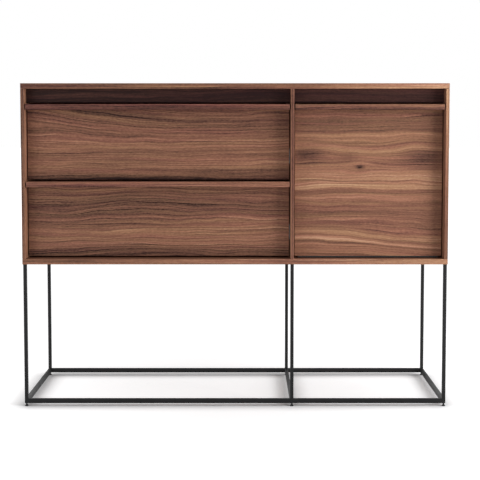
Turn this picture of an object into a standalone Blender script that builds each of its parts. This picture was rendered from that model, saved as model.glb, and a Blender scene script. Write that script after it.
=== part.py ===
"""Console cabinet on a slender steel base.

A walnut case stands on a welded frame of square steel bar.  The left bay holds
two wide drawers on telescopic runners.  The right bay is closed by a front that
drops forward on a long hinge along its bottom edge, held level by two slotted
stays.  Every front is a flat panel set back behind a full-width pull lip.  Above
the upper lips a recess leaves room for the fingers, with a fixed board behind it.

Units are metres.  +X is to the right, +Z is up and the fronts face -Y.  The
origin is on the floor, under the middle of the case.
"""
import math

import bmesh
import bpy
from mathutils import Matrix, Vector

# Overall sizes
CASE_W = 1.270
CASE_D = 0.406
CASE_H = 0.539
CASE_CLEARANCE = 0.430

# Case boards
TOP_T = 0.016
BOTTOM_T = 0.016
SIDE_T = 0.0105
DIVIDER_T = 0.0105
LEFT_BAY_W = 0.790
BACK_T = 0.006
BACK_SET = 0.002
REBATE_IN = 0.005
HOUSING_DEPTH = 0.004
HOUSING_STOP = 0.012
BOARD_EASE = 0.0007

# Fronts
RECESS_H = 0.0455
RECESS_BOARD_T = 0.018
RECESS_BOARD_GAP = 0.005
LIP_T = 0.016
LIP_OVERHANG = 0.033
FRONT_T = 0.018
FRONT_SIDE_GAP = 0.003
FRONT_BETWEEN_GAP = 0.005
FRONT_BOTTOM_GAP = 0.0055
TONGUE_T = 0.006
TONGUE_H = 0.005
TONGUE_INSET = 0.015

# Drawer boxes
DRAWER_SIDE_T = 0.012
DRAWER_BACK_T = 0.012
DRAWER_BOX_H = 0.160
DRAWER_BACK_SPACE = 0.027
DRAWER_BOX_LIFT = 0.015
DRAWER_BOTTOM_T = 0.005
DRAWER_BOTTOM_UP = 0.010
DRAWER_GROOVE = 0.006
DRAWER_EASE = 0.0012

# Telescopic runners, with depths measured away from the cabinet side
RUNNER_T = 0.0127
RUNNER_H = 0.045
RUNNER_SHEET = 0.0012
RUNNER_GAP = 0.0005
RUNNER_BEND = 0.0012
RUNNER_OUTER_REACH = 0.0090
RUNNER_OUTER_LIP = 0.0040
RUNNER_MIDDLE_LIP = 0.0042
RUNNER_UP = 0.055
RUNNER_SET = 0.004
RUNNER_BACK_SPACE = 0.016
RUNNER_HOLE_R = 0.0022
RUNNER_HOLE_INSET = 0.035

# Drop front: long hinge, stays and catch
HINGE_END_SPACE = 0.014
HINGE_LEAF_W = 0.014
HINGE_SHEET = 0.0010
HINGE_PIN_GAP = 0.00025
HINGE_KNUCKLE_COUNT = 15
HINGE_KNUCKLE_GAP = 0.0005
STAY_R = 0.180
STAY_SPREAD = math.radians(20.0)
STAY_OPEN = math.radians(90.0)
STAY_PIVOT_BACK = 0.010
STAY_ARM_T = 0.002
STAY_ARM_W = 0.013
STAY_PLANE = 0.006
STAY_PIN_R = 0.0025
STAY_COLLAR_R = 0.0035
STAY_HEAD_R = 0.0046
STAY_HEAD_TOP_R = 0.0032
STAY_HEAD_T = 0.0015
STAY_FLANGE_R = 0.007
STAY_FLANGE_T = 0.0018
STAY_BRACKET_W = 0.022
STAY_BRACKET_H = 0.030
STAY_FOOT_T = 0.0015
STAY_EAR_T = 0.002
STAY_SCREW_EDGE = 0.0075
CATCH_W = 0.017
CATCH_H = 0.044
CATCH_L = 0.017
CATCH_DROP = 0.030
CATCH_EASE = 0.002
CATCH_SCREW_INSET = 0.009
STRIKE_W = 0.010
STRIKE_H = 0.036
STRIKE_T = 0.0012
STRIKE_CORNER_R = 0.0025
STRIKE_SCREW_INSET = 0.006

# Steel base
BAR_W = 0.010
BAR_CORNER = 0.0008
RAIL_H = 0.0135
FRAME_INSET = 0.002
PLATE_T = 0.003
PLATE_L = 0.050
PLATE_EDGE = 0.006
PLATE_CORNER_R = 0.006
PLATE_HOLE_INSET = 0.009
SCREW_R = 0.0022
SCREW_HEAD_R = 0.0042
FOOT_H = 0.0094
FOOT_PAD_R = 0.0053
FOOT_PAD_H = 0.0030
FOOT_PAD_EASE = 0.0008
FOOT_NECK_H = 0.0018
FOOT_STEM_R = 0.0025
FOOT_STEM_IN = 0.0090

# Working gaps
SEAT = 0.0003
CUT = 0.002
BORE_GAP = 0.0003

# Facets round a turned piece, and the angle above which an edge stays sharp
HOLE_SIDES = 10
PIN_SIDES = 16
FOOT_SIDES = 20
SMOOTH_ANGLE = math.radians(35.0)

# Planes that the pieces share
X_LEFT = -CASE_W / 2
X_RIGHT = CASE_W / 2
Y_FRONT = -CASE_D / 2
Y_BACK = CASE_D / 2
Z_CASE = CASE_CLEARANCE
Z_TOP = Z_CASE + CASE_H
Z_FLOOR = Z_CASE + BOTTOM_T
Z_CEILING = Z_TOP - TOP_T
X_LEFT_IN = X_LEFT + SIDE_T
X_RIGHT_IN = X_RIGHT - SIDE_T
X_DIVIDER_LEFT = X_LEFT_IN + LEFT_BAY_W
X_DIVIDER_RIGHT = X_DIVIDER_LEFT + DIVIDER_T
X_DIVIDER = (X_DIVIDER_LEFT + X_DIVIDER_RIGHT) / 2
Y_BACK_PANEL = Y_BACK - BACK_SET - BACK_T
Y_PANEL = Y_FRONT + LIP_OVERHANG
Y_PANEL_BACK = Y_PANEL + FRONT_T
Y_BOX_FRONT = Y_PANEL_BACK + SEAT
Y_BOX_BACK = Y_BACK_PANEL - DRAWER_BACK_SPACE
Y_RUNNER_FRONT = Y_PANEL_BACK + RUNNER_SET
RUNNER_L = Y_BOX_BACK - RUNNER_BACK_SPACE - Y_RUNNER_FRONT
HINGE_L = X_RIGHT_IN - X_DIVIDER_RIGHT - 2 * HINGE_END_SPACE
DRAWER_FRONT_H = (Z_CEILING - Z_FLOOR - RECESS_H - FRONT_BOTTOM_GAP - FRONT_BETWEEN_GAP) / 2
DOOR_FRONT_H = Z_CEILING - Z_FLOOR - RECESS_H - FRONT_BOTTOM_GAP
Z_LOWER_FRONT = Z_FLOOR + FRONT_BOTTOM_GAP
Z_UPPER_FRONT = Z_LOWER_FRONT + DRAWER_FRONT_H + FRONT_BETWEEN_GAP
Z_RECESS_BOARD = Z_CEILING - RECESS_H + RECESS_BOARD_GAP

# Colours are linear red, green and blue
WALNUT = (0.145, 0.075, 0.050)
BIRCH = (0.560, 0.400, 0.250)
BLACK_STEEL = (0.022, 0.022, 0.023)
ZINC = (0.560, 0.570, 0.580)
BLACK_PLASTIC = (0.030, 0.030, 0.032)


def clear_scene():
    """Remove what the start-up file holds."""
    for thing in list(bpy.data.objects):
        bpy.data.objects.remove(thing, do_unlink=True)


def finish(name, colour, roughness, metallic):
    """Make a Principled material for one piece."""
    material = bpy.data.materials.new(name + "_finish")
    material.use_nodes = True
    shader = material.node_tree.nodes["Principled BSDF"]
    shader.inputs["Base Color"].default_value = (*colour, 1.0)
    shader.inputs["Roughness"].default_value = roughness
    shader.inputs["Metallic"].default_value = metallic
    return material


def walnut(name):
    """Oiled walnut veneer on board."""
    return finish(name, WALNUT, 0.48, 0.0)


def birch(name):
    """Lacquered birch plywood inside the drawers."""
    return finish(name, BIRCH, 0.55, 0.0)


def black_steel(name):
    """Steel bar with a satin black powder coat."""
    return finish(name, BLACK_STEEL, 0.50, 0.0)


def zinc(name):
    """Zinc-plated sheet steel of the fittings."""
    return finish(name, ZINC, 0.32, 1.0)


def black_plastic(name):
    """Moulded black plastic."""
    return finish(name, BLACK_PLASTIC, 0.45, 0.0)


def publish(name, bm, material, origin=(0.0, 0.0, 0.0), smooth=False):
    """Turn a bmesh drawn around origin into an object that stands at origin."""
    bmesh.ops.recalc_face_normals(bm, faces=bm.faces)
    mesh = bpy.data.meshes.new(name)
    bm.to_mesh(mesh)
    bm.free()
    if smooth:
        mesh.shade_smooth()
        mesh.set_sharp_from_angle(angle=SMOOTH_ANGLE)
    if material is not None:
        mesh.materials.append(material)
    thing = bpy.data.objects.new(name, mesh)
    thing.location = origin
    bpy.context.collection.objects.link(thing)
    return thing


def add_box(bm, low, high, ease=0.0):
    """Add a box between two corners, with its edges eased."""
    size = Vector(high) - Vector(low)
    middle = (Vector(high) + Vector(low)) / 2
    place = Matrix.Translation(middle) @ Matrix.Diagonal((*size, 1.0))
    made = bmesh.ops.create_cube(bm, size=1.0, matrix=place)
    if ease > 0.0:
        edges = list({edge for vert in made["verts"] for edge in vert.link_edges})
        bmesh.ops.bevel(bm, geom=edges, offset=ease, segments=1, affect="EDGES")


def add_prism(bm, outline, axis, start, end):
    """Extrude a closed outline along X, Y or Z between two places.

    The outline holds (Y, Z) pairs for axis X, (X, Z) pairs for Y and (X, Y) pairs for Z.
    """
    place = {
        "X": lambda a, b, c: (c, a, b),
        "Y": lambda a, b, c: (a, c, b),
        "Z": lambda a, b, c: (a, b, c),
    }[axis]
    verts = [bm.verts.new(place(a, b, start)) for a, b in outline]
    face = bm.faces.new(verts)
    grown = bmesh.ops.extrude_face_region(bm, geom=[face])
    moved = [item for item in grown["geom"] if isinstance(item, bmesh.types.BMVert)]
    bmesh.ops.translate(bm, verts=moved, vec=Vector(place(0.0, 0.0, end - start)))


def add_turned(bm, profile, centre, axis, segments):
    """Revolve (radius, distance) pairs about an axis through centre.

    Pairs run from one flat end to the other, and each end is capped.
    """
    turn = {
        "X": lambda r, d, a: (d, r * math.cos(a), r * math.sin(a)),
        "Y": lambda r, d, a: (r * math.sin(a), d, r * math.cos(a)),
        "Z": lambda r, d, a: (r * math.cos(a), r * math.sin(a), d),
    }[axis]
    angles = [2 * math.pi * (step + 0.5) / segments for step in range(segments)]
    centre = Vector(centre)
    rings = [[bm.verts.new(centre + Vector(turn(r, d, a))) for a in angles] for r, d in profile]
    for near, far in zip(rings, rings[1:]):
        for step in range(segments):
            after = (step + 1) % segments
            bm.faces.new((near[step], near[after], far[after], far[step]))
    bm.faces.new(rings[0])
    bm.faces.new(rings[-1])


def arc(centre, radius, start, end, steps):
    """Points on an arc, in degrees, with both ends."""
    angles = [math.radians(start + (end - start) * step / steps) for step in range(steps + 1)]
    return [(centre[0] + radius * math.cos(a), centre[1] + radius * math.sin(a)) for a in angles]


def rounded_rectangle(low, high, radius, steps=4):
    """Outline of a rectangle with round corners."""
    outline = []
    outline += arc((high[0] - radius, high[1] - radius), radius, 0, 90, steps)
    outline += arc((low[0] + radius, high[1] - radius), radius, 90, 180, steps)
    outline += arc((low[0] + radius, low[1] + radius), radius, 180, 270, steps)
    outline += arc((high[0] - radius, low[1] + radius), radius, 270, 360, steps)
    return outline


def stadium(start, end, half_width, steps=6):
    """Outline of a bar along the first axis with round ends at start and end."""
    return arc((end, 0.0), half_width, -90, 90, steps) + arc((start, 0.0), half_width, 90, 270, steps)


def bent_line(points, radius, steps=2):
    """Round the corners of an open line, as a bent sheet's middle runs."""
    line = [Vector(points[0])]
    for before, corner, after in zip(points, points[1:], points[2:]):
        corner = Vector(corner)
        back = (Vector(before) - corner).normalized()
        ahead = (Vector(after) - corner).normalized()
        half_angle = back.angle(ahead) / 2
        trim = radius / math.tan(half_angle)
        centre = corner + (back + ahead).normalized() * (radius / math.sin(half_angle))
        first = corner + back * trim - centre
        last = corner + ahead * trim - centre
        turn = first.angle_signed(last)
        for step in range(steps + 1):
            part = Matrix.Rotation(-turn * step / steps, 2)
            line.append(centre + part @ first)
    line.append(Vector(points[-1]))
    return line


def sheet_outline(line, thickness):
    """Give an open line the thickness of a sheet and return the closed outline."""
    outer = []
    inner = []
    for step, point in enumerate(line):
        before = line[max(step - 1, 0)]
        after = line[min(step + 1, len(line) - 1)]
        directions = [d.normalized() for d in (point - before, after - point) if d.length > 0.0]
        along = sum(directions, Vector((0.0, 0.0))).normalized()
        side = Vector((-along.y, along.x))
        stretch = 1.0 / max(side.dot(Vector((-directions[0].y, directions[0].x))), 0.5)
        outer.append(point + side * (thickness / 2 * stretch))
        inner.append(point - side * (thickness / 2 * stretch))
    return outer + inner[::-1]


def board(name, low, high, material, ease=BOARD_EASE):
    """A flat board with eased edges."""
    bm = bmesh.new()
    add_box(bm, low, high, ease)
    return publish(name, bm, material)


def guide(name, bm, origin=(0.0, 0.0, 0.0)):
    """A shape that only cuts or adds to another one."""
    thing = publish(name, bm, None, origin)
    thing.hide_render = True
    thing.display_type = "WIRE"
    return thing


def shape_with(target, tool, operation):
    """Cut the tool out of the target, or add it."""
    change = target.modifiers.new(tool.name, "BOOLEAN")
    change.operation = operation
    change.solver = "EXACT"
    change.object = tool


def cut_boxes(target, name, boxes):
    """Cut boxes out of a piece, given as pairs of corners."""
    bm = bmesh.new()
    for low, high in boxes:
        add_box(bm, low, high)
    shape_with(target, guide(name, bm), "DIFFERENCE")


def cut_holes(target, name, profile, centres, axis):
    """Drill the same turned hole at several centres."""
    bm = bmesh.new()
    for centre in centres:
        add_turned(bm, profile, centre, axis, HOLE_SIDES)
    shape_with(target, guide(name, bm), "DIFFERENCE")


def build_case():
    """Top, bottom, sides, divider and back."""
    back_low = (X_LEFT_IN - REBATE_IN, Y_BACK_PANEL - SEAT, Z_FLOOR - REBATE_IN)
    back_high = (X_RIGHT_IN + REBATE_IN, Y_BACK + CUT, Z_CEILING + REBATE_IN)
    rebate = [(back_low, back_high)]
    housing_low_y = Y_FRONT + HOUSING_STOP
    divider_slot = (X_DIVIDER_LEFT - SEAT, X_DIVIDER_RIGHT + SEAT)

    high = (X_RIGHT, Y_BACK, Z_TOP)
    top = board("top_panel", (X_LEFT, Y_FRONT, Z_CEILING), high, walnut("top_panel"))
    cut_boxes(top, "top_rebate", rebate)
    cut_boxes(top, "top_housing", [(
        (divider_slot[0], housing_low_y, Z_CEILING - CUT),
        (divider_slot[1], Y_BACK, Z_CEILING + HOUSING_DEPTH + SEAT),
    )])

    high = (X_RIGHT, Y_BACK, Z_FLOOR)
    bottom = board("bottom_panel", (X_LEFT, Y_FRONT, Z_CASE), high, walnut("bottom_panel"))
    cut_boxes(bottom, "bottom_rebate", rebate)
    cut_boxes(bottom, "bottom_housing", [(
        (divider_slot[0], housing_low_y, Z_FLOOR - HOUSING_DEPTH - SEAT),
        (divider_slot[1], Y_BACK, Z_FLOOR + CUT),
    )])
    bm = bmesh.new()
    for leg in leg_places():
        add_prism(bm, plate_outline(leg, SEAT), "Z", Z_CASE - CUT, Z_CASE + PLATE_T + SEAT)
    shape_with(bottom, guide("plate_recesses", bm), "DIFFERENCE")

    for name, low_x in (("left_side_panel", X_LEFT), ("right_side_panel", X_RIGHT_IN)):
        low = (low_x, Y_FRONT, Z_FLOOR + SEAT)
        high = (low_x + SIDE_T, Y_BACK, Z_CEILING - SEAT)
        side = board(name, low, high, walnut(name))
        cut_boxes(side, name + "_rebate", rebate)
        if low_x == X_LEFT:
            housing = recess_housing(X_LEFT_IN - HOUSING_DEPTH, X_LEFT_IN + CUT)
        else:
            housing = recess_housing(X_RIGHT_IN - CUT, X_RIGHT_IN + HOUSING_DEPTH)
        cut_boxes(side, name + "_housing", [housing])

    tenon = HOUSING_DEPTH
    divider = board(
        "divider_panel",
        (X_DIVIDER_LEFT, Y_FRONT, Z_FLOOR - tenon),
        (X_DIVIDER_RIGHT, Y_BACK_PANEL - SEAT, Z_CEILING + tenon),
        walnut("divider_panel"),
    )
    notch_y = (Y_FRONT - CUT, housing_low_y + SEAT)
    notch_x = (X_DIVIDER_LEFT - CUT, X_DIVIDER_RIGHT + CUT)
    cut_boxes(divider, "divider_notches", [
        ((notch_x[0], notch_y[0], Z_FLOOR - tenon - CUT), (notch_x[1], notch_y[1], Z_FLOOR + SEAT)),
        ((notch_x[0], notch_y[0], Z_CEILING - SEAT), (notch_x[1], notch_y[1], Z_CEILING + tenon + CUT)),
    ])
    cut_boxes(divider, "divider_crossing", [recess_housing(*notch_x)])

    board(
        "back_panel",
        (back_low[0] + SEAT, Y_BACK_PANEL, back_low[2] + SEAT),
        (back_high[0] - SEAT, Y_BACK - BACK_SET, back_high[2] - SEAT),
        walnut("back_panel"),
    )


def recess_housing(low_x, high_x):
    """Room for the recess board where it enters a side or crosses the divider."""
    low = (low_x, Y_PANEL - SEAT, Z_RECESS_BOARD - SEAT)
    high = (high_x, Y_PANEL + RECESS_BOARD_T + SEAT, Z_CEILING + HOUSING_DEPTH + CUT)
    return low, high


def build_recess_board():
    """Board behind the recess above the lips, in one length from side to side."""
    end = HOUSING_DEPTH - SEAT
    low = (X_LEFT_IN - end, Y_PANEL, Z_RECESS_BOARD)
    high = (X_RIGHT_IN + end, Y_PANEL + RECESS_BOARD_T, Z_CEILING - SEAT)
    board("recess_board", low, high, walnut("recess_board"))


def leg_places():
    """Centre and top plate of each leg."""
    near = FRAME_INSET + BAR_W / 2
    columns = (("left", X_LEFT + near), ("middle", X_DIVIDER), ("right", X_RIGHT - near))
    rows = (("front", Y_FRONT + near), ("back", Y_BACK - near))
    places = []
    for row, y in rows:
        plate_y = Y_FRONT + PLATE_EDGE if row == "front" else Y_BACK - PLATE_EDGE - PLATE_L
        for column, x in columns:
            plate_x = {
                "left": X_LEFT + PLATE_EDGE,
                "middle": X_DIVIDER - PLATE_L / 2,
                "right": X_RIGHT - PLATE_EDGE - PLATE_L,
            }[column]
            plate = ((plate_x, plate_y), (plate_x + PLATE_L, plate_y + PLATE_L))
            places.append({"row": row, "column": column, "x": x, "y": y, "plate": plate})
    return places


def plate_outline(leg, room):
    """Outline of a leg's top plate, or of its recess with some room around it."""
    low, high = leg["plate"]
    low = (low[0] - room, low[1] - room)
    high = (high[0] + room, high[1] + room)
    return rounded_rectangle(low, high, PLATE_CORNER_R + room, 3)


def add_bar(bm, axis, low, high, start, end):
    """A length of steel bar with its long corners eased."""
    add_prism(bm, rounded_rectangle(low, high, BAR_CORNER, 1), axis, start, end)


def build_legs():
    """Square bar legs, each welded to a plate that is let into the case."""
    plate_z = Z_CASE - SEAT
    for leg in leg_places():
        name = "leg_" + leg["row"] + "_" + leg["column"]
        low, high = leg["plate"]
        bm = bmesh.new()
        add_prism(bm, plate_outline(leg, 0.0), "Z", plate_z, plate_z + PLATE_T)
        thing = publish(name, bm, black_steel(name))

        half = BAR_W / 2
        foot_z = FOOT_H if leg["column"] != "middle" else FOOT_H + RAIL_H + SEAT
        bm = bmesh.new()
        bar_low = (leg["x"] - half, leg["y"] - half)
        bar_high = (leg["x"] + half, leg["y"] + half)
        add_bar(bm, "Z", bar_low, bar_high, foot_z, plate_z)
        shape_with(thing, guide(name + "_bar", bm), "UNION")

        hole_x = (low[0] + PLATE_HOLE_INSET, high[0] - PLATE_HOLE_INSET)
        hole_y = (low[1] + PLATE_HOLE_INSET, high[1] - PLATE_HOLE_INSET)
        clear = BAR_W / 2 + SCREW_HEAD_R + SEAT
        holes = [
            (x, y, plate_z) for x in hole_x for y in hole_y
            if abs(x - leg["x"]) > clear or abs(y - leg["y"]) > clear
        ]
        sink = SCREW_HEAD_R - SCREW_R
        profile = [(SCREW_HEAD_R + CUT, -CUT), (SCREW_R, sink), (SCREW_R, PLATE_T + CUT)]
        cut_holes(thing, name + "_screw_holes", profile, holes, "Z")
        if leg["column"] != "middle":
            cut_foot_socket(thing, name, leg["x"], leg["y"])


def cut_foot_socket(target, name, x, y):
    """Threaded hole, drawn plain, that a foot's stem screws into."""
    radius = FOOT_STEM_R + BORE_GAP
    profile = [(radius, FOOT_H - CUT), (radius, FOOT_H + FOOT_STEM_IN + SEAT)]
    cut_holes(target, name + "_foot_socket", profile, [(x, y, 0.0)], "Z")


def build_rails():
    """Bottom rails of the base."""
    outer = FRAME_INSET
    inner = FRAME_INSET + BAR_W + SEAT
    z = (FOOT_H, FOOT_H + RAIL_H)
    rows = (("front", Y_FRONT + outer), ("back", Y_BACK - outer - BAR_W))
    for row, y in rows:
        name = "rail_" + row
        bm = bmesh.new()
        add_bar(bm, "X", (y, z[0]), (y + BAR_W, z[1]), X_LEFT + inner, X_RIGHT - inner)
        rail = publish(name, bm, black_steel(name))
        cut_foot_socket(rail, name, X_DIVIDER, y + BAR_W / 2)
    columns = (
        ("left", X_LEFT + outer),
        ("middle", X_DIVIDER - BAR_W / 2),
        ("right", X_RIGHT - outer - BAR_W),
    )
    for column, x in columns:
        name = "rail_" + column
        bm = bmesh.new()
        add_bar(bm, "Y", (x, z[0]), (x + BAR_W, z[1]), Y_FRONT + inner, Y_BACK - inner)
        publish(name, bm, black_steel(name))


def build_feet():
    """Levelling feet: a round pad on a screwed stem."""
    profile = [
        (FOOT_PAD_R - FOOT_PAD_EASE, 0.0),
        (FOOT_PAD_R, FOOT_PAD_EASE),
        (FOOT_PAD_R, FOOT_PAD_H - FOOT_PAD_EASE),
        (FOOT_PAD_R - FOOT_PAD_EASE, FOOT_PAD_H),
        (FOOT_STEM_R, FOOT_PAD_H + FOOT_NECK_H),
        (FOOT_STEM_R, FOOT_H + FOOT_STEM_IN),
    ]
    for leg in leg_places():
        name = "foot_" + leg["row"] + "_" + leg["column"]
        bm = bmesh.new()
        add_turned(bm, profile, (0.0, 0.0, 0.0), "Z", FOOT_SIDES)
        publish(name, bm, black_plastic(name), (leg["x"], leg["y"], 0.0), smooth=True)


def build_front(name, low_x, high_x, low_z, height):
    """A flat front panel and the pull lip that covers its top edge."""
    high_z = low_z + height
    lip_z = high_z - LIP_T
    panel = board(
        name + "_panel",
        (low_x, Y_PANEL, low_z),
        (high_x, Y_PANEL_BACK, lip_z - SEAT),
        walnut(name + "_panel"),
    )
    high = (high_x, Y_PANEL_BACK, high_z)
    lip = board(name + "_lip", (low_x, Y_FRONT, lip_z), high, walnut(name + "_lip"))

    middle_y = (Y_PANEL + Y_PANEL_BACK) / 2
    half = TONGUE_T / 2
    bm = bmesh.new()
    add_box(
        bm,
        (low_x + TONGUE_INSET, middle_y - half, lip_z - CUT),
        (high_x - TONGUE_INSET, middle_y + half, lip_z + TONGUE_H),
    )
    shape_with(panel, guide(name + "_tongue", bm), "UNION")
    cut_boxes(lip, name + "_lip_groove", [(
        (low_x + TONGUE_INSET - SEAT, middle_y - half - SEAT, lip_z - CUT),
        (high_x - TONGUE_INSET + SEAT, middle_y + half + SEAT, lip_z + TONGUE_H + SEAT),
    )])
    return panel, lip


def build_drawer(level, low_z):
    """One drawer: its front, its box and the runners on both sides."""
    name = level + "_drawer"
    low_x = X_LEFT_IN + FRONT_SIDE_GAP
    high_x = X_DIVIDER_LEFT - FRONT_SIDE_GAP
    panel, lip = build_front(name + "_front", low_x, high_x, low_z, DRAWER_FRONT_H)

    side_space = RUNNER_T + 2 * SEAT
    box_z = low_z + DRAWER_BOX_LIFT
    box_left = X_LEFT_IN + side_space
    box_right = X_DIVIDER_LEFT - side_space
    floor_z = box_z + DRAWER_BOTTOM_UP
    groove_z = (floor_z - SEAT, floor_z + DRAWER_BOTTOM_T + SEAT)
    inner_left = box_left + DRAWER_SIDE_T
    inner_right = box_right - DRAWER_SIDE_T
    groove = ((inner_left - DRAWER_GROOVE, inner_right + DRAWER_GROOVE), groove_z)

    for side, x in (("left", box_left), ("right", inner_right)):
        part = name + "_side_" + side
        low = (x, Y_BOX_FRONT, box_z)
        high = (x + DRAWER_SIDE_T, Y_BOX_BACK, box_z + DRAWER_BOX_H)
        wall = board(part, low, high, birch(part), DRAWER_EASE)
        cut_boxes(wall, part + "_groove", [(
            (groove[0][0], Y_BOX_FRONT - CUT, groove_z[0]),
            (groove[0][1], Y_BOX_BACK + CUT, groove_z[1]),
        )])
    cut_boxes(panel, name + "_front_groove", [(
        (groove[0][0], Y_PANEL_BACK - DRAWER_GROOVE, groove_z[0]),
        (groove[0][1], Y_PANEL_BACK + CUT, groove_z[1]),
    )])
    board(
        name + "_back",
        (inner_left + SEAT, Y_BOX_BACK - DRAWER_BACK_T, floor_z + DRAWER_BOTTOM_T + SEAT),
        (inner_right - SEAT, Y_BOX_BACK, box_z + DRAWER_BOX_H),
        birch(name + "_back"),
        DRAWER_EASE,
    )
    board(
        name + "_bottom",
        (groove[0][0] + SEAT, Y_PANEL_BACK - DRAWER_GROOVE + SEAT, floor_z),
        (groove[0][1] - SEAT, Y_BOX_BACK, floor_z + DRAWER_BOTTOM_T),
        birch(name + "_bottom"),
        0.0,
    )
    build_runner(level, "left", X_LEFT_IN + SEAT, 1.0, box_z + RUNNER_UP)
    build_runner(level, "right", X_DIVIDER_LEFT - SEAT, -1.0, box_z + RUNNER_UP)


def channel(web, tip, half_height, lip):
    """Middle line of a C-shaped rolled section, from its lower lip to its upper lip."""
    return [
        (tip, -half_height + lip),
        (tip, -half_height),
        (web, -half_height),
        (web, half_height),
        (tip, half_height),
        (tip, half_height - lip),
    ]


def runner_sections():
    """The three rolled sections, nested with a running gap, as middle lines.

    The first number of a point is its distance from the cabinet side.
    """
    half = RUNNER_SHEET / 2
    outer_half = RUNNER_H / 2 - half
    outer = channel(half, RUNNER_OUTER_REACH - half, outer_half, RUNNER_OUTER_LIP - half)
    step = RUNNER_SHEET + RUNNER_GAP
    middle_half = outer_half - step
    middle_web = half + step
    middle_tip = RUNNER_OUTER_REACH - half - step
    middle = channel(middle_web, middle_tip, middle_half, RUNNER_MIDDLE_LIP - half)
    inner_half = middle_half - RUNNER_MIDDLE_LIP - RUNNER_GAP
    inner_hook = middle_half - step - inner_half
    inner = channel(RUNNER_T - half, middle_tip - step, inner_half, -inner_hook - half)
    return {"cabinet": outer, "middle": middle, "drawer": inner}


def build_runner(level, side, base_x, direction, centre_z):
    """Cabinet, middle and drawer member of one telescopic runner."""
    end_y = Y_RUNNER_FRONT + RUNNER_L
    hole_y = (Y_RUNNER_FRONT + RUNNER_HOLE_INSET, end_y - RUNNER_L / 2, end_y - RUNNER_HOLE_INSET)
    webs = {"cabinet": 0.0, "drawer": RUNNER_T - RUNNER_SHEET}
    for member, points in runner_sections().items():
        name = level + "_runner_" + side + "_" + member
        outline = [
            (base_x + direction * point.x, centre_z + point.y)
            for point in sheet_outline(bent_line(points, RUNNER_BEND), RUNNER_SHEET)
        ]
        bm = bmesh.new()
        add_prism(bm, outline, "Y", Y_RUNNER_FRONT, end_y)
        thing = publish(name, bm, zinc(name))
        if member in webs:
            web = (webs[member] - RUNNER_GAP, webs[member] + RUNNER_SHEET + RUNNER_GAP)
            profile = [(RUNNER_HOLE_R, direction * web[0]), (RUNNER_HOLE_R, direction * web[1])]
            holes = [(base_x, y, centre_z) for y in hole_y]
            cut_holes(thing, name + "_holes", profile, holes, "X")


def door_axis():
    """Where the drop front turns: the front face plane, halfway up the gap below it."""
    return Y_PANEL, Z_FLOOR + FRONT_BOTTOM_GAP / 2


def build_hinge():
    """Long hinge: two leaves with rolled knuckles that share one pin."""
    axis_y, axis_z = door_axis()
    radius = FRONT_BOTTOM_GAP / 2 - SEAT
    line_r = radius - HINGE_SHEET / 2
    pin_r = radius - HINGE_SHEET - HINGE_PIN_GAP
    middle_x = (X_DIVIDER_RIGHT + X_RIGHT_IN) / 2
    low_x = middle_x - HINGE_L / 2
    pitch = HINGE_L / HINGE_KNUCKLE_COUNT

    curl = [Vector(point) for point in arc((0.0, 0.0), line_r, -90, -355, 14)]
    line = [Vector((HINGE_LEAF_W, -line_r))] + curl
    for name, flip, kept in (("hinge_case_leaf", 1.0, 0), ("hinge_door_leaf", -1.0, 1)):
        outline = [(point.x, flip * point.y) for point in sheet_outline(line, HINGE_SHEET)]
        bm = bmesh.new()
        add_prism(bm, outline, "X", -HINGE_L / 2, HINGE_L / 2)
        leaf = publish(name, bm, zinc(name), (middle_x, axis_y, axis_z))
        gap = HINGE_KNUCKLE_GAP / 2
        notches = []
        for knuckle in range(HINGE_KNUCKLE_COUNT):
            if knuckle % 2 != kept:
                start = low_x + knuckle * pitch
                notches.append((
                    (start - gap, axis_y - radius - CUT, axis_z - radius - CUT),
                    (start + pitch + gap, axis_y + radius + SEAT, axis_z + radius + CUT),
                ))
        cut_boxes(leaf, name + "_notches", notches)
        if name == "hinge_case_leaf":
            cap_r = radius - HINGE_SHEET / 2
            cap_t = HINGE_SHEET
            half = HINGE_L / 2
            profile = [
                (cap_r, -half - cap_t), (cap_r, -half + cap_t / 2), (pin_r, -half + cap_t / 2),
                (pin_r, half - cap_t / 2), (cap_r, half - cap_t / 2), (cap_r, half + cap_t),
            ]
            bm = bmesh.new()
            add_turned(bm, profile, (middle_x, axis_y, axis_z), "X", PIN_SIDES)
            shape_with(leaf, guide("hinge_pin", bm), "UNION")


def stay_geometry():
    """Pivot on the door, stud on the case, and how far apart they are, shut and open."""
    axis_y, axis_z = door_axis()
    back = FRONT_T + STAY_PIVOT_BACK
    lean = math.asin(back / STAY_R)
    pivot = (axis_y + back, axis_z + STAY_R * math.cos(lean))
    stud_turn = lean + STAY_SPREAD
    stud = (axis_y + STAY_R * math.sin(stud_turn), axis_z + STAY_R * math.cos(stud_turn))
    shut = 2 * STAY_R * math.sin(STAY_SPREAD / 2)
    opened = 2 * STAY_R * math.sin((STAY_SPREAD + STAY_OPEN) / 2)
    slope = math.atan2(stud[1] - pivot[1], stud[0] - pivot[0])
    return {"pivot": pivot, "stud": stud, "shut": shut, "open": opened, "slope": slope}


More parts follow.
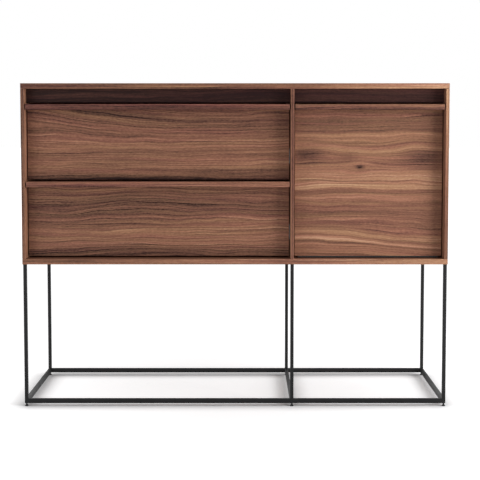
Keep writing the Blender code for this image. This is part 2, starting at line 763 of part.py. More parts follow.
def build_stays():
    """Slotted stays that stop the drop front level."""
    stay = stay_geometry()
    pivot = Vector((0.0, *stay["pivot"]))
    stud = Vector((0.0, *stay["stud"]))
    half_w = STAY_ARM_W / 2
    slot_r = STAY_PIN_R + BORE_GAP
    ear_u = STAY_PLANE + STAY_ARM_T + SEAT
    for side, wall_x, inward in (("left", X_DIVIDER_RIGHT, 1.0), ("right", X_RIGHT_IN, -1.0)):
        def at(distance):
            return inward * distance

        name = "stay_arm_" + side
        bm = bmesh.new()
        outline = stadium(0.0, stay["open"], half_w)
        add_prism(bm, outline, "X", at(STAY_PLANE), at(STAY_PLANE + STAY_ARM_T))
        arm = publish(name, bm, zinc(name), pivot + Vector((wall_x, 0.0, 0.0)))
        arm.rotation_euler = (stay["slope"], 0.0, 0.0)
        bm = bmesh.new()
        cut_u = (at(STAY_PLANE - CUT), at(STAY_PLANE + STAY_ARM_T + CUT))
        add_prism(bm, stadium(stay["shut"], stay["open"], slot_r), "X", *cut_u)
        add_turned(bm, [(slot_r, cut_u[0]), (slot_r, cut_u[1])], (0.0, 0.0, 0.0), "X", PIN_SIDES)
        openings = guide(name + "_slot", bm, arm.location)
        openings.rotation_euler = arm.rotation_euler
        shape_with(arm, openings, "DIFFERENCE")

        name = "stay_stud_" + side
        profile = [
            (STAY_FLANGE_R, at(SEAT)),
            (STAY_FLANGE_R, at(SEAT + STAY_FLANGE_T)),
            (STAY_COLLAR_R, at(SEAT + STAY_FLANGE_T)),
            (STAY_COLLAR_R, at(STAY_PLANE - SEAT)),
            (STAY_PIN_R, at(STAY_PLANE - SEAT)),
            (STAY_PIN_R, at(ear_u)),
            (STAY_HEAD_R, at(ear_u)),
            (STAY_HEAD_R, at(ear_u + STAY_HEAD_T / 2)),
            (STAY_HEAD_TOP_R, at(ear_u + STAY_HEAD_T)),
        ]
        bm = bmesh.new()
        add_turned(bm, profile, (0.0, 0.0, 0.0), "X", PIN_SIDES)
        publish(name, bm, zinc(name), stud + Vector((wall_x, 0.0, 0.0)), smooth=True)

        build_stay_bracket("stay_bracket_" + side, wall_x, inward, ear_u, stay["pivot"])


def build_stay_bracket(name, wall_x, inward, ear_u, pivot):
    """Angle bracket on the back of the door, with the rivet that the arm turns on."""
    pivot_y, pivot_z = pivot
    foot_y = Y_PANEL_BACK + SEAT
    ear_x = (wall_x + inward * ear_u, wall_x + inward * (ear_u + STAY_EAR_T))
    foot_end = wall_x + inward * (ear_u + STAY_BRACKET_W)
    half_h = STAY_BRACKET_H / 2
    ear_r = STAY_ARM_W / 2

    bm = bmesh.new()
    add_prism(bm, rounded_rectangle(
        (min(ear_x[0], foot_end), pivot_z - half_h),
        (max(ear_x[0], foot_end), pivot_z + half_h),
        STAY_FOOT_T, 2,
    ), "Y", foot_y, foot_y + STAY_FOOT_T)
    thing = publish(name, bm, zinc(name))

    shoulder = math.degrees(math.acos(min(1.0, ear_r / half_h)))
    base_y = foot_y + STAY_FOOT_T / 2
    ear = [(base_y, pivot_z - half_h + STAY_FOOT_T)]
    ear += arc((pivot_y, pivot_z), ear_r, -shoulder, shoulder, 8)
    ear += [(base_y, pivot_z + half_h - STAY_FOOT_T)]
    bm = bmesh.new()
    add_prism(bm, ear, "X", ear_x[0], ear_x[1])
    shape_with(thing, guide(name + "_ear", bm), "UNION")

    head_u = STAY_PLANE - SEAT
    profile = [
        (STAY_HEAD_TOP_R, inward * (head_u - STAY_HEAD_T)),
        (STAY_HEAD_R, inward * (head_u - STAY_HEAD_T / 2)),
        (STAY_HEAD_R, inward * head_u),
        (STAY_PIN_R, inward * head_u),
        (STAY_PIN_R, inward * (ear_u + STAY_EAR_T / 2)),
    ]
    bm = bmesh.new()
    add_turned(bm, profile, (wall_x, pivot_y, pivot_z), "X", PIN_SIDES)
    shape_with(thing, guide(name + "_rivet", bm), "UNION")

    screw_x = foot_end - inward * STAY_SCREW_EDGE
    screw_up = half_h - STAY_SCREW_EDGE
    screws = [(screw_x, foot_y, pivot_z + side * screw_up) for side in (-1.0, 1.0)]
    profile = [(SCREW_R, -CUT), (SCREW_R, STAY_FOOT_T + CUT)]
    cut_holes(thing, name + "_screw_holes", profile, screws, "Y")


def build_catch():
    """Magnetic catch on the divider and its strike plate on the door."""
    top_z = Z_LOWER_FRONT + DOOR_FRONT_H - LIP_T - CATCH_DROP
    front_y = Y_PANEL_BACK + SEAT + STRIKE_T + SEAT
    low = (X_DIVIDER_RIGHT + SEAT, front_y, top_z - CATCH_H)
    high = (X_DIVIDER_RIGHT + SEAT + CATCH_W, front_y + CATCH_L, top_z)
    catch = board("magnet_catch", low, high, black_plastic("magnet_catch"), CATCH_EASE)
    middle_y = (low[1] + high[1]) / 2
    screw_z = (low[2] + CATCH_SCREW_INSET, top_z - CATCH_SCREW_INSET)
    screws = [(X_DIVIDER_RIGHT, middle_y, z) for z in screw_z]
    profile = [(SCREW_R, -CUT), (SCREW_R, SEAT + CATCH_W + CUT)]
    cut_holes(catch, "catch_screw_holes", profile, screws, "X")

    middle_x = (low[0] + high[0]) / 2
    middle_z = (low[2] + high[2]) / 2
    bm = bmesh.new()
    add_prism(bm, rounded_rectangle(
        (middle_x - STRIKE_W / 2, middle_z - STRIKE_H / 2),
        (middle_x + STRIKE_W / 2, middle_z + STRIKE_H / 2),
        STRIKE_CORNER_R, 3,
    ), "Y", Y_PANEL_BACK + SEAT, Y_PANEL_BACK + SEAT + STRIKE_T)
    strike = publish("catch_strike", bm, zinc("catch_strike"))
    screw_up = STRIKE_H / 2 - STRIKE_SCREW_INSET
    screws = [(middle_x, Y_PANEL_BACK, middle_z + side * screw_up) for side in (-1.0, 1.0)]
    profile = [(SCREW_R, -CUT), (SCREW_R, SEAT + STRIKE_T + CUT)]
    cut_holes(strike, "strike_screw_holes", profile, screws, "Y")


def build():
    """Make every piece."""
    clear_scene()
    build_case()
    build_recess_board()
    build_legs()
    build_rails()
    build_feet()
    build_drawer("lower", Z_LOWER_FRONT)
    build_drawer("upper", Z_UPPER_FRONT)
    build_front(
        "door",
        X_DIVIDER_RIGHT + FRONT_SIDE_GAP,
        X_RIGHT_IN - FRONT_SIDE_GAP,
        Z_LOWER_FRONT,
        DOOR_FRONT_H,
    )
    build_hinge()
    build_stays()
    build_catch()


build()
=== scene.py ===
"""Looks of a console cabinet: a walnut case and fronts on a slim, welded, black steel base.

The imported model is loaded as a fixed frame, in metres, with +Z up and the fronts facing -Y. Each
sub-assembly dresses its own pieces of it and adds what it leaves out, such as the welds and screws.
"""

from __future__ import annotations

import logging
import math
from collections.abc import Callable, Iterable, Sequence
from dataclasses import dataclass, replace
from enum import Enum
from typing import Any

import bmesh
import bpy
from mathutils import Euler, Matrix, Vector


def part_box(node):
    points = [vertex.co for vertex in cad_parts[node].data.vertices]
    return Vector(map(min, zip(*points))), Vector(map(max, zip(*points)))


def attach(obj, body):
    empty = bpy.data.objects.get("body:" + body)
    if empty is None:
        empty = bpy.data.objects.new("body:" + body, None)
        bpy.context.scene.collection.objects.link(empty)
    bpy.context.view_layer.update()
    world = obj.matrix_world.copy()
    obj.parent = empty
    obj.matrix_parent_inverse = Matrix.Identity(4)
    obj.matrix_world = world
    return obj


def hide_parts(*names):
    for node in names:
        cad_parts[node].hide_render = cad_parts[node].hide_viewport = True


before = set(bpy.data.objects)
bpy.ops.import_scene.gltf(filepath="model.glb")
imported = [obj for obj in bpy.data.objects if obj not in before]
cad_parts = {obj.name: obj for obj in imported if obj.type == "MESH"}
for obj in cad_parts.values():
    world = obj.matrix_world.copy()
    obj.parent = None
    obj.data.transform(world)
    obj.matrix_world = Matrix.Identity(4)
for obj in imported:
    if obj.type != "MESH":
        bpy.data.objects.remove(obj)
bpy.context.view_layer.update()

LOG = logging.getLogger("console_cabinet")
MM = 0.001
PER_MM = 1000.0
ROWS = ("front", "back")
COLUMNS = ("left", "middle", "right")
# The way inwards, along X, from the side where a runner or a bracket is.
SIDES = {"left": 1.0, "right": -1.0}
UP = Vector((0.0, 0.0, 1.0))
DOWN = Vector((0.0, 0.0, -1.0))
BACKWARDS = Vector((0.0, 1.0, 0.0))
RIGHTWARDS = Vector((1.0, 0.0, 0.0))
# A board's surface is an edge where it faces less than this along its thickness, and an end where it
# faces more than this along its length.
EDGE_SLOPE = 0.6
END_SLOPE = 0.7
SMOOTH_ANGLE = math.radians(35.0)
# How many flats make up a round screw or hole.
ROUND_SIDES = 20

Node = bpy.types.Node
Piece = bpy.types.Object
Pair = tuple[float, float]
Stops = tuple[Pair, ...]
Inputs = dict[str | int, Any] | tuple[Any, ...]
Point = tuple[float, float, float]
Place = tuple[Point, Vector, float]


def linear(code: str) -> tuple[float, float, float, float]:
    """Turns an sRGB hex colour into the linear colour that a shader takes.

    Args:
        code: The colour as six hex digits after a hash.

    Returns:
        Linear red, green and blue, and an alpha of 1.
    """
    shares = [int(code[start:start + 2], 16) / 255 for start in (1, 3, 5)]
    red, green, blue = [s / 12.92 if s <= 0.04045 else ((s + 0.055) / 1.055) ** 2.4 for s in shares]
    return red, green, blue, 1.0


class Graph:
    """A node tree that is filled one node at a time."""

    def __init__(self, tree: bpy.types.NodeTree) -> None:
        """Empties the tree and keeps it."""
        tree.nodes.clear()
        self.tree = tree

    def add(self, kind: str, inputs: Inputs = (), operation: str = "", stops: Stops = (),
            **settings: Any) -> Node:
        """Adds a node with its settings and links.

        Args:
            kind: The node's type, without the word ShaderNode before it.
            inputs: Each input's value, or the node or socket that feeds it, in order or by name or number.
            operation: What a node for sums does.
            stops: A colour ramp's positions, each with a grey level or a linear colour.
            **settings: Other properties of the node.

        Returns:
            The new node.
        """
        node = self.tree.nodes.new(f"ShaderNode{kind}")
        if operation:
            node.operation = operation
        for name, value in settings.items():
            setattr(node, name, value)
        for key, value in inputs.items() if isinstance(inputs, dict) else enumerate(inputs):
            source = value.outputs[0] if isinstance(value, Node) else value
            if isinstance(source, bpy.types.NodeSocket):
                self.tree.links.new(source, node.inputs[key])
            else:
                node.inputs[key].default_value = source
        for index, (position, level) in enumerate(stops):
            elements = node.color_ramp.elements
            element = elements[index] if index < 2 else elements.new(position)
            element.position = position
            element.color = level if isinstance(level, tuple) else (level, level, level, 1.0)
        return node


def new_material(name: str) -> tuple[bpy.types.Material, Graph]:
    """Makes a material and the graph of its nodes.

    Args:
        name: What the material is called.

    Returns:
        The material, and its emptied graph.
    """
    material = bpy.data.materials.new(name)
    material.use_nodes = True
    return material, Graph(material.node_tree)


class GrainLay(Enum):
    """The turn, in degrees about X, Y and Z, that lays a board flat with its grain along X."""

    FLAT = (0.0, 0.0, 0.0)
    FACING = (-90.0, 0.0, 0.0)
    STANDING = (0.0, 90.0, 0.0)

    @property
    def turn(self) -> Euler:
        """The same turn, as a rotation."""
        return Euler([math.radians(angle) for angle in self.value])


@dataclass(frozen=True)
class Spot:
    """A soft oval place on a board, in mm from its low corner, and what it adds at its middle."""

    along: float
    across: float
    half_length: float
    half_width: float
    amount: float


@dataclass(frozen=True)
class Streaks:
    """Marks drawn out along the grain: length and width in mm, and how strong they are."""

    length: float
    width: float
    strength: float = 1.0


def laid_flat(graph: Graph, lay: GrainLay, low: Vector) -> tuple[Node, Node, Node]:
    """Adds a board's own directions, as if it lay flat with its grain along X.

    Args:
        graph: The material's graph.
        lay: How the grain lies.
        low: The board's low corner.

    Returns:
        The place in mm from that corner, as a vector and apart, and how far the surface faces along
        each direction.
    """
    surface = graph.add("TexCoord")
    corner = lay.turn.to_matrix() @ (low * PER_MM)
    place = graph.add("Mapping", {"Vector": surface.outputs["Object"], "Location": -corner,
                                  "Rotation": lay.turn, "Scale": (PER_MM, PER_MM, PER_MM)})
    facing = graph.add("Mapping", {"Vector": surface.outputs["Normal"], "Rotation": lay.turn},
                       vector_type="VECTOR")
    size = graph.add("VectorMath", (facing,), "ABSOLUTE")
    return place, graph.add("SeparateXYZ", (place,)), graph.add("SeparateXYZ", (size,))


@dataclass(frozen=True)
class Figure:
    """The picture that the grain draws on a board: tones from 0, dark, to 1, pale, and sizes in mm.

    Bands give the tone across the board, drift adds to it along the board, and edge is the tone along
    the lipped edges. Swells push the rows of grain apart and shades add tone. Meander is how far the
    rows wander, ring a year's width and ring_depth its tone. Contrast scales rings and streaks.
    """

    bands: Stops = ((0, 0.42), (0.3, 0.5), (0.55, 0.4), (0.8, 0.52), (1, 0.45))
    swells: tuple[Spot, ...] = ()
    shades: tuple[Spot, ...] = ()
    drift: Stops = ((0, 0), (1, 0))
    edge: Stops = ((0, 0.42), (1, 0.42))
    meander: float = 7.0
    ring: float = 10.5
    ring_depth: float = 0.34
    contrast: float = 1.0
    redness: float = 0.0
    seed: float = 0.0


@dataclass(frozen=True)
class Grain:
    """A point's place along and across the grain, in mm, also as a vector, and 1 on an edge, else 0."""

    graph: Graph
    along: Node
    across: Node
    place: Node
    edge: Node

    def drawn_out(self, marks: Streaks, detail: float = 1.0, shift: Point = (0.0, 0.0, 0.0)) -> Node:
        """Adds noise that is drawn out along the grain.

        Args:
            marks: How long and wide its marks are.
            detail: How many finer layers it has.
            shift: Where it is read, so that no two boards look alike.

        Returns:
            The noise, about 0.5 on average.
        """
        scale = (1 / marks.length, 1 / marks.width, 1.0)
        stretched = self.graph.add("Mapping", {"Vector": self.place, "Location": shift, "Scale": scale})
        return self.graph.add("TexNoise", {"Vector": stretched, "Scale": 1.0, "Detail": detail})

    def spotted(self, spot: Spot, before: Any) -> Node:
        """Adds a soft oval spot to a value.

        Args:
            spot: The oval and what it adds.
            before: The value so far.

        Returns:
            The value with the spot added.
        """
        reach = (1 / spot.half_length, 1 / spot.half_width, 1.0)
        middle = (-spot.along * reach[0], -spot.across * reach[1], 0.0)
        inside = self.graph.add("Mapping", {"Vector": self.place, "Location": middle, "Scale": reach})
        far = self.graph.add("VectorMath", (inside, inside), "DOT_PRODUCT")
        fade = self.graph.add("Math", (1 / math.e, far.outputs["Value"]), "POWER")
        return self.graph.add("Math", (fade, spot.amount, before), "MULTIPLY_ADD")


@dataclass(frozen=True)
class WalnutVeneer:
    """Oiled black walnut veneer, sliced and laid in long leaves, with edges lipped along their length.

    Black walnut is a cool brown with a red tinge. Bands of heartwood of several tones cross the
    leaf. Each year's growth ends in a dark line beside a pale one, about 10 mm apart on a leaf that
    is sliced nearly flat, and the lines bow round knots. Fine open pores leave short dark dashes.
    The oil leaves a low satin sheen.
    """

    name: str
    slot: str
    lay: GrainLay
    figure: Figure
    low: Vector
    high: Vector
    waves: tuple[Streaks, ...] = (Streaks(520, 150, 4), Streaks(130, 45, 2.8))
    streaks: tuple[Streaks, ...] = (
        Streaks(900, 18, 0.42), Streaks(620, 7, 0.54), Streaks(420, 3.4, 0.66), Streaks(70, 3, 0.4),
        Streaks(9, 3, 0.4))
    year: Stops = ((0, 1), (0.08, 0.86), (0.2, 0.56), (0.55, 0.52), (0.8, 0.4), (0.93, 0.06), (1, 0))
    # How wide a year's growth is and how strongly it shows varies over these lengths, in mm.
    year_drift: Streaks = Streaks(900, 24, 30)
    beads: Streaks = Streaks(7, 12)
    # A low and a high level of these two noises, and how strongly a ring's line shows there.
    fading: tuple[float, ...] = (0.35, 0.65, 0.2, 1.8)
    beading: tuple[float, ...] = (0.3, 0.7, 0.6, 1.4)
    # Walnut's pores are about 0.2 mm wide and 3 mm long. They are drawn 0.9 by 12 mm, to show.
    pores: Streaks = Streaks(12, 0.9, -0.14)
    tints: Streaks = Streaks(460, 11, 0.008)
    tones: tuple[tuple[float, str], ...] = (
        (0.0, "#261613"), (0.2, "#5e4035"), (0.4, "#7c5645"), (0.6, "#956a53"), (0.8, "#ab8066"),
        (1.0, "#c49d7e"))

    def material(self) -> bpy.types.Material:
        """Builds the board's material.

        Returns:
            The material, named for the board.
        """
        material, graph = new_material(f"oiled_walnut_veneer_{self.name}")
        straight = self._straight(graph)
        bent = self._bent(straight)
        self._shade(bent, self._rings(bent, self._tone(straight, bent)))
        return material

    def _straight(self, graph: Graph) -> Grain:
        """Finds how far a point lies along and across the grain, also on the lipped edges.

        Args:
            graph: The material's graph.

        Returns:
            The point's place in the straight grain.
        """
        _, spot, facing = laid_flat(graph, self.lay, self.low)
        edge = graph.add("Math", (facing.outputs["Z"], EDGE_SLOPE), "LESS_THAN")
        end = graph.add("Math", (facing.outputs["X"], END_SLOPE), "GREATER_THAN")
        thick = graph.add("Math", (spot.outputs["Z"],), "ABSOLUTE")
        along = graph.add("Mix", {0: end, 2: spot.outputs["X"], 3: spot.outputs["Y"]})
        across = graph.add("Mix", {0: edge, 2: spot.outputs["Y"], 3: thick})
        return Grain(graph, along, across, graph.add("CombineXYZ", (along, across)), edge)

    def _bent(self, grain: Grain) -> Grain:
        """Bends the rows of grain, so that they meander and bow round the swells.

        Args:
            grain: The point's place in the straight grain.

        Returns:
            Its place in the bent grain.
        """
        graph = grain.graph
        bend: Any = 0.0
        for wave in self.waves:
            noise = grain.drawn_out(wave, shift=(0.0, 0.0, self.figure.seed))
            centred = graph.add("Math", (noise, 0.5), "SUBTRACT")
            amount = wave.strength * self.figure.meander
            bend = graph.add("Math", (centred, amount, bend), "MULTIPLY_ADD")
        for swell in self.figure.swells:
            bend = grain.spotted(replace(swell, amount=-swell.amount), bend)
        face = graph.add("Math", (1.0, grain.edge), "SUBTRACT")
        row = graph.add("Math", (bend, face, grain.across), "MULTIPLY_ADD")
        return replace(grain, across=row, place=graph.add("CombineXYZ", (grain.along, row)))

    def _tone(self, straight: Grain, bent: Grain) -> Node:
        """Works out how pale the wood is between its rings.

        Args:
            straight: The point's place in the straight grain.
            bent: Its place in the bent grain.

        Returns:
            The tone, from 0, dark, to 1, pale.
        """
        graph, figure = straight.graph, self.figure
        size = self.lay.turn.to_matrix() @ ((self.high - self.low) * PER_MM)
        share = graph.add("Math", (straight.along, abs(size.x)), "DIVIDE")
        row = graph.add("Math", (bent.across, abs(size.y)), "DIVIDE")
        bands = graph.add("ValToRGB", (row,), stops=figure.bands)
        # A ramp holds no level below 0, so the drift is raised by 0.5 in it and lowered again after it.
        drift = graph.add("ValToRGB", (share,), stops=tuple((p, level + 0.5) for p, level in figure.drift))
        face = graph.add("Math", (bands, drift), "ADD")
        centred = graph.add("Math", (face, 0.5), "SUBTRACT")
        lipping = graph.add("ValToRGB", (share,), stops=figure.edge)
        tone: Any = graph.add("Mix", {0: straight.edge, 2: centred, 3: lipping})
        for shade in figure.shades:
            tone = straight.spotted(shade, tone)
        for streaks in self.streaks:
            noise = bent.drawn_out(streaks, 2.0, (0.0, streaks.length, figure.seed))
            middle = graph.add("Math", (noise, 0.5), "SUBTRACT")
            amount = streaks.strength * figure.contrast
            tone = graph.add("Math", (middle, amount, tone), "MULTIPLY_ADD")
        return tone

    def _rings(self, bent: Grain, tone: Node) -> Node:
        """Draws the dark line at the end of each year's growth, and the pale one beside it.

        Args:
            bent: The point's place in the bent grain.
            tone: The tone so far.

        Returns:
            The tone with the rings drawn in.
        """
        graph = bent.graph
        noise = bent.drawn_out(self.year_drift, shift=(0.0, 0.0, self.figure.seed))
        shifted = graph.add("Math", (noise, self.year_drift.strength, bent.across), "MULTIPLY_ADD")
        years = graph.add("Math", (shifted, self.figure.ring), "DIVIDE")
        part = graph.add("Math", (years,), "FRACT")
        line = graph.add("ValToRGB", (part,), stops=self.year)
        centred = graph.add("Math", (line, 0.5), "SUBTRACT")
        faint = graph.add("MapRange", (noise, *self.fading))
        beaded = graph.add("MapRange", (bent.drawn_out(self.beads), *self.beading))
        drawn = graph.add("Math", (centred, faint), "MULTIPLY")
        broken = graph.add("Math", (drawn, beaded), "MULTIPLY")
        amount = self.figure.ring_depth * self.figure.contrast
        return graph.add("Math", (broken, amount, tone), "MULTIPLY_ADD")

    def _shade(self, bent: Grain, tone: Node) -> None:
        """Turns the tone into colour, sheen and relief, and ends the graph.

        Args:
            bent: The point's place in the bent grain.
            tone: How pale the wood is.
        """
        graph = bent.graph
        pores = graph.add("MapRange", (bent.drawn_out(self.pores), 0.60, 0.72))
        pored = graph.add("Math", (pores, self.pores.strength, tone), "MULTIPLY_ADD")
        tones = tuple((level, linear(code)) for level, code in self.tones)
        wood = graph.add("ValToRGB", (pored,), stops=tones)
        patches = bent.drawn_out(self.tints, shift=(5.0, 0.0, self.figure.seed))
        # A hue of 0.5 changes nothing, more turns the brown to yellow and less turns it to red.
        plain, more = 0.5 - self.figure.redness, self.tints.strength
        hue = graph.add("MapRange", (patches, 0.3, 0.7, plain + more, plain - more))
        colour = graph.add("HueSaturation", {"Hue": hue, "Saturation": 1.01, "Value": 1.0, "Color": wood})
        rough = graph.add("MapRange", {0: pored, 3: 0.56, 4: 0.44})
        relief = graph.add("Math", (pores, -1.0, tone), "MULTIPLY_ADD")
        bump = graph.add("Bump", {"Height": relief, "Strength": 0.12, "Distance": 0.0004})
        shader = graph.add("BsdfPrincipled", {
            "Base Color": colour, "Roughness": rough, "Normal": bump, "IOR": 1.45,
            "Specular IOR Level": 0.15})
        graph.add("OutputMaterial", {"Surface": shader})


@dataclass(frozen=True)
class BirchPly:
    """Lacquered birch plywood: pale, even faces and edges that show their thin, striped layers.

    A layer's thickness and the length and width of the face's soft marks are in mm.
    """

    name: str
    lay: GrainLay
    low: Vector
    slot: str = "birch_box"
    layer: float = 1.4
    marks: Pair = (160.0, 7.0)
    pale: str = "#d9bf97"
    tan: str = "#c3a273"
    dark: str = "#a07c50"

    def material(self) -> bpy.types.Material:
        """Builds the board's material.

        Returns:
            The material, named for the board.
        """
        material, graph = new_material(f"lacquered_birch_plywood_{self.name}")
        place, spot, facing = laid_flat(graph, self.lay, self.low)
        edge = graph.add("Math", (facing.outputs["Z"], EDGE_SLOPE), "LESS_THAN")
        length, width = self.marks
        grain = graph.add("Mapping", {"Vector": place, "Scale": (1 / length, 1 / width, 1 / width)})
        noise = graph.add("TexNoise", {"Vector": grain, "Scale": 1.0, "Detail": 3.0})
        tan, pale, dark = linear(self.tan), linear(self.pale), linear(self.dark)
        face = graph.add("ValToRGB", (noise,), stops=((0.35, tan), (0.6, pale)))
        depth = graph.add("Math", (spot.outputs["Z"],), "ABSOLUTE")
        layers = graph.add("Math", (depth, self.layer * 2), "DIVIDE")
        part = graph.add("Math", (layers,), "FRACT")
        striped = graph.add("ValToRGB", (part,), stops=((0.44, pale), (0.56, dark)))
        colour = graph.add("Mix", {0: edge, 6: face, 7: striped}, data_type="RGBA")
        rough = graph.add("MapRange", (noise, 0.3, 0.7, 0.46, 0.36))
        bump = graph.add("Bump", {"Height": noise, "Strength": 0.08, "Distance": 0.0003})
        shader = graph.add("BsdfPrincipled", {
            "Base Color": colour.outputs[2], "Roughness": rough, "Normal": bump, "IOR": 1.5})
        graph.add("OutputMaterial", {"Surface": shader})
        return material


@dataclass(frozen=True)
class FineFinish:
    """A finish that is one colour with a fine random grain in its tone, sheen and relief.

    The grain is given in mm. The two tones are those of its low and high places, which lie at the ends
    of its spread.
    """

    name: str
    slot: str
    low_tone: str
    high_tone: str
    grain: Point
    roughness: Pair
    relief: float
    metallic: float = 0.0
    specular: float = 0.5
    spread: Pair = (0.38, 0.62)

    def material(self) -> bpy.types.Material:
        """Builds the material.

        Returns:
            The material.
        """
        material, graph = new_material(self.name)
        place = graph.add("TexCoord").outputs["Object"]
        fine = graph.add("Mapping", {"Vector": place, "Scale": tuple(PER_MM / size for size in self.grain)})
        noise = graph.add("TexNoise", {"Vector": fine, "Scale": 1.0, "Detail": 2.0})
        broad = graph.add("TexNoise", {"Vector": place, "Scale": 25.0, "Detail": 1.0})
        both = graph.add("Math", (noise, broad), "ADD")
        half = graph.add("Math", (both, 0.5), "MULTIPLY")
        low, high = self.spread
        tones = ((low, linear(self.low_tone)), (high, linear(self.high_tone)))
        colour = graph.add("ValToRGB", (half,), stops=tones)
        rough = graph.add("MapRange", (half, low, high, *self.roughness))
        bump = graph.add("Bump", {"Height": noise, "Strength": 0.25, "Distance": self.relief * MM})
        shader = graph.add("BsdfPrincipled", {
            "Base Color": colour, "Roughness": rough, "Normal": bump, "Metallic": self.metallic,
            "Specular IOR Level": self.specular})
        graph.add("OutputMaterial", {"Surface": shader})
        return material


# Black polyester powder, baked on blasted steel: even and satin, with a faint orange peel. The peel is
# about 0.5 mm across, and is drawn 1.2 mm across.
POWDER_COAT = FineFinish(
    "black_powder_coated_steel", "black_frame", "#111112", "#171718", (1.2, 1.2, 1.2), (0.52, 0.44), 0.05,
    specular=0.2)
# Zinc plated steel sheet, rolled and then plated: cool grey, softly mirrored, with drawn-out marks.
ZINC_PLATE = FineFinish(
    "zinc_plated_steel", "zinc_fitting", "#8f9498", "#a9adb0", (0.8, 6.0, 0.8), (0.36, 0.26), 0.02,
    metallic=1.0)
# Nickel plated screw steel, brighter than the plates that it holds.
SCREW_STEEL = FineFinish(
    "nickel_plated_screw_steel", "zinc_fitting", "#b9b6ae", "#d5d2ca", (0.5, 0.5, 0.5), (0.30, 0.22), 0.01,
    metallic=1.0)
# Screw steel blackened in hot salts and oiled: near black, with a dull metal sheen.
BLACK_SCREW = FineFinish(
    "black_oxide_screw_steel", "black_frame", "#1d1d1e", "#2a2a2b", (0.5, 0.5, 0.5), (0.45, 0.35), 0.01,
    specular=0.4)
# Glass-filled nylon, moulded in a spark-eroded tool: dull black, with a fine grain drawn 0.6 mm across.
MOULDED_NYLON = FineFinish(
    "moulded_black_nylon", "black_plastic", "#161617", "#1e1e1f", (0.6, 0.6, 0.6), (0.62, 0.52), 0.03,
    specular=0.35)
# Steel strip, rolled into knuckles and then blackened: near black, with a thin oily sheen.
BLACKENED_STEEL = FineFinish(
    "blackened_steel_strip", "blackened_steel", "#1b1a1a", "#252424", (6.0, 0.8, 0.8), (0.50, 0.40), 0.02,
    specular=0.35)


def dress(pieces: Iterable[str | Piece], finish: Any) -> None:
    """Gives pieces a finish.

    Args:
        pieces: New pieces, or the names of the frame's nodes.
        finish: The finish, whose one material they share.
    """
    material = finish.material()
    for named in pieces:
        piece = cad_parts[named] if isinstance(named, str) else named
        piece.data.materials.clear()
        piece.data.materials.append(material)
        LOG.info("%s: %s", piece.name, material.name)


def dress_walnut(name: str, lay: GrainLay, figure: Figure, slot: str = "walnut_front") -> None:
    """Gives one walnut board of the frame its own veneer, with its grain lying and drawn as told."""
    low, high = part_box(name)
    dress([name], WalnutVeneer(name, slot, lay, figure, low, high))


def shares_of(width: float, rows: Stops) -> Stops:
    """Turns levels at places into stops of a ramp, at shares of the width that the places lie on."""
    return tuple((place / width, tone) for place, tone in rows)


def middle_of(name: str) -> Vector:
    """Finds the middle of a node of the frame."""
    low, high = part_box(name)
    return (low + high) / 2


def only(*pieces: Piece) -> None:
    """Selects some pieces and nothing else, and makes the first of them the active one."""
    bpy.ops.object.select_all(action="DESELECT")
    for piece in pieces:
        piece.select_set(True)
    bpy.context.view_layer.objects.active = pieces[0]


def settle(piece: Piece) -> None:
    """Moves a piece's place, turn and scale into its mesh."""
    only(piece)
    bpy.ops.object.transform_apply(location=True, rotation=True, scale=True)


def block(name: str, low: Point, high: Point) -> Piece:
    """Adds a block between two corners, as the start of a bar, a plate or a blade.

    Args:
        name: The piece's name.
        low: Its lowest corner.
        high: Its highest corner.

    Returns:
        The block.
    """
    middle, size = (Vector(low) + Vector(high)) / 2, Vector(high) - Vector(low)
    bpy.ops.mesh.primitive_cube_add(size=1.0, location=middle, scale=size)
    piece = bpy.context.active_object
    piece.name = name
    settle(piece)
    return piece


def turned(name: str, rings: Sequence[Pair]) -> Piece:
    """Draws a round piece up from a disc, ring by ring, as on a lathe.

    Args:
        name: The piece's name.
        rings: Each ring's radius and height, from the lowest up.

    Returns:
        The closed, turned piece, standing on the origin's axis.
    """
    radius, height = rings[0]
    bpy.ops.mesh.primitive_circle_add(vertices=ROUND_SIDES, radius=radius, fill_type="NGON",
                                      location=(0.0, 0.0, height))
    piece = bpy.context.active_object
    piece.name = name
    settle(piece)
    bpy.ops.object.mode_set(mode="EDIT")
    bpy.ops.mesh.select_all(action="SELECT")
    for next_radius, next_height in rings[1:]:
        bpy.ops.mesh.extrude_region_move(TRANSFORM_OT_translate={"value": (0.0, 0.0, next_height - height)})
        share = next_radius / radius
        bpy.ops.transform.resize(value=(share, share, 1.0), center_override=(0.0, 0.0, next_height))
        radius, height = next_radius, next_height
    bpy.ops.mesh.select_all(action="SELECT")
    bpy.ops.mesh.normals_make_consistent(inside=False)
    bpy.ops.object.mode_set(mode="OBJECT")
    return piece


def pick_edges(piece: Piece, wanted: Callable[[Vector, Vector], bool]) -> None:
    """Goes into edit mode with some of a piece's edges selected.

    Args:
        piece: The piece.
        wanted: Says from an edge's middle and direction whether it is selected.
    """
    only(piece)
    bpy.ops.object.mode_set(mode="EDIT")
    bpy.ops.mesh.select_mode(type="EDGE")
    bpy.ops.mesh.select_all(action="DESELECT")
    mesh = bmesh.from_edit_mesh(piece.data)
    for edge in mesh.edges:
        start, end = (corner.co for corner in edge.verts)
        edge.select_set(wanted((start + end) / 2, (end - start).normalized()))
    bmesh.update_edit_mesh(piece.data)


def combine(piece: Piece, tool: Piece, operation: str) -> None:
    """Welds a tool to a piece, or cuts it out of the piece, and removes the tool.

    Args:
        piece: The piece that stays.
        tool: The piece that is used up.
        operation: UNION or DIFFERENCE.
    """
    only(piece)
    modifier = piece.modifiers.new("shape", "BOOLEAN")
    modifier.object = tool
    modifier.operation = operation
    modifier.solver = "EXACT"
    bpy.ops.object.modifier_apply(modifier=modifier.name)
    bpy.data.objects.remove(tool)


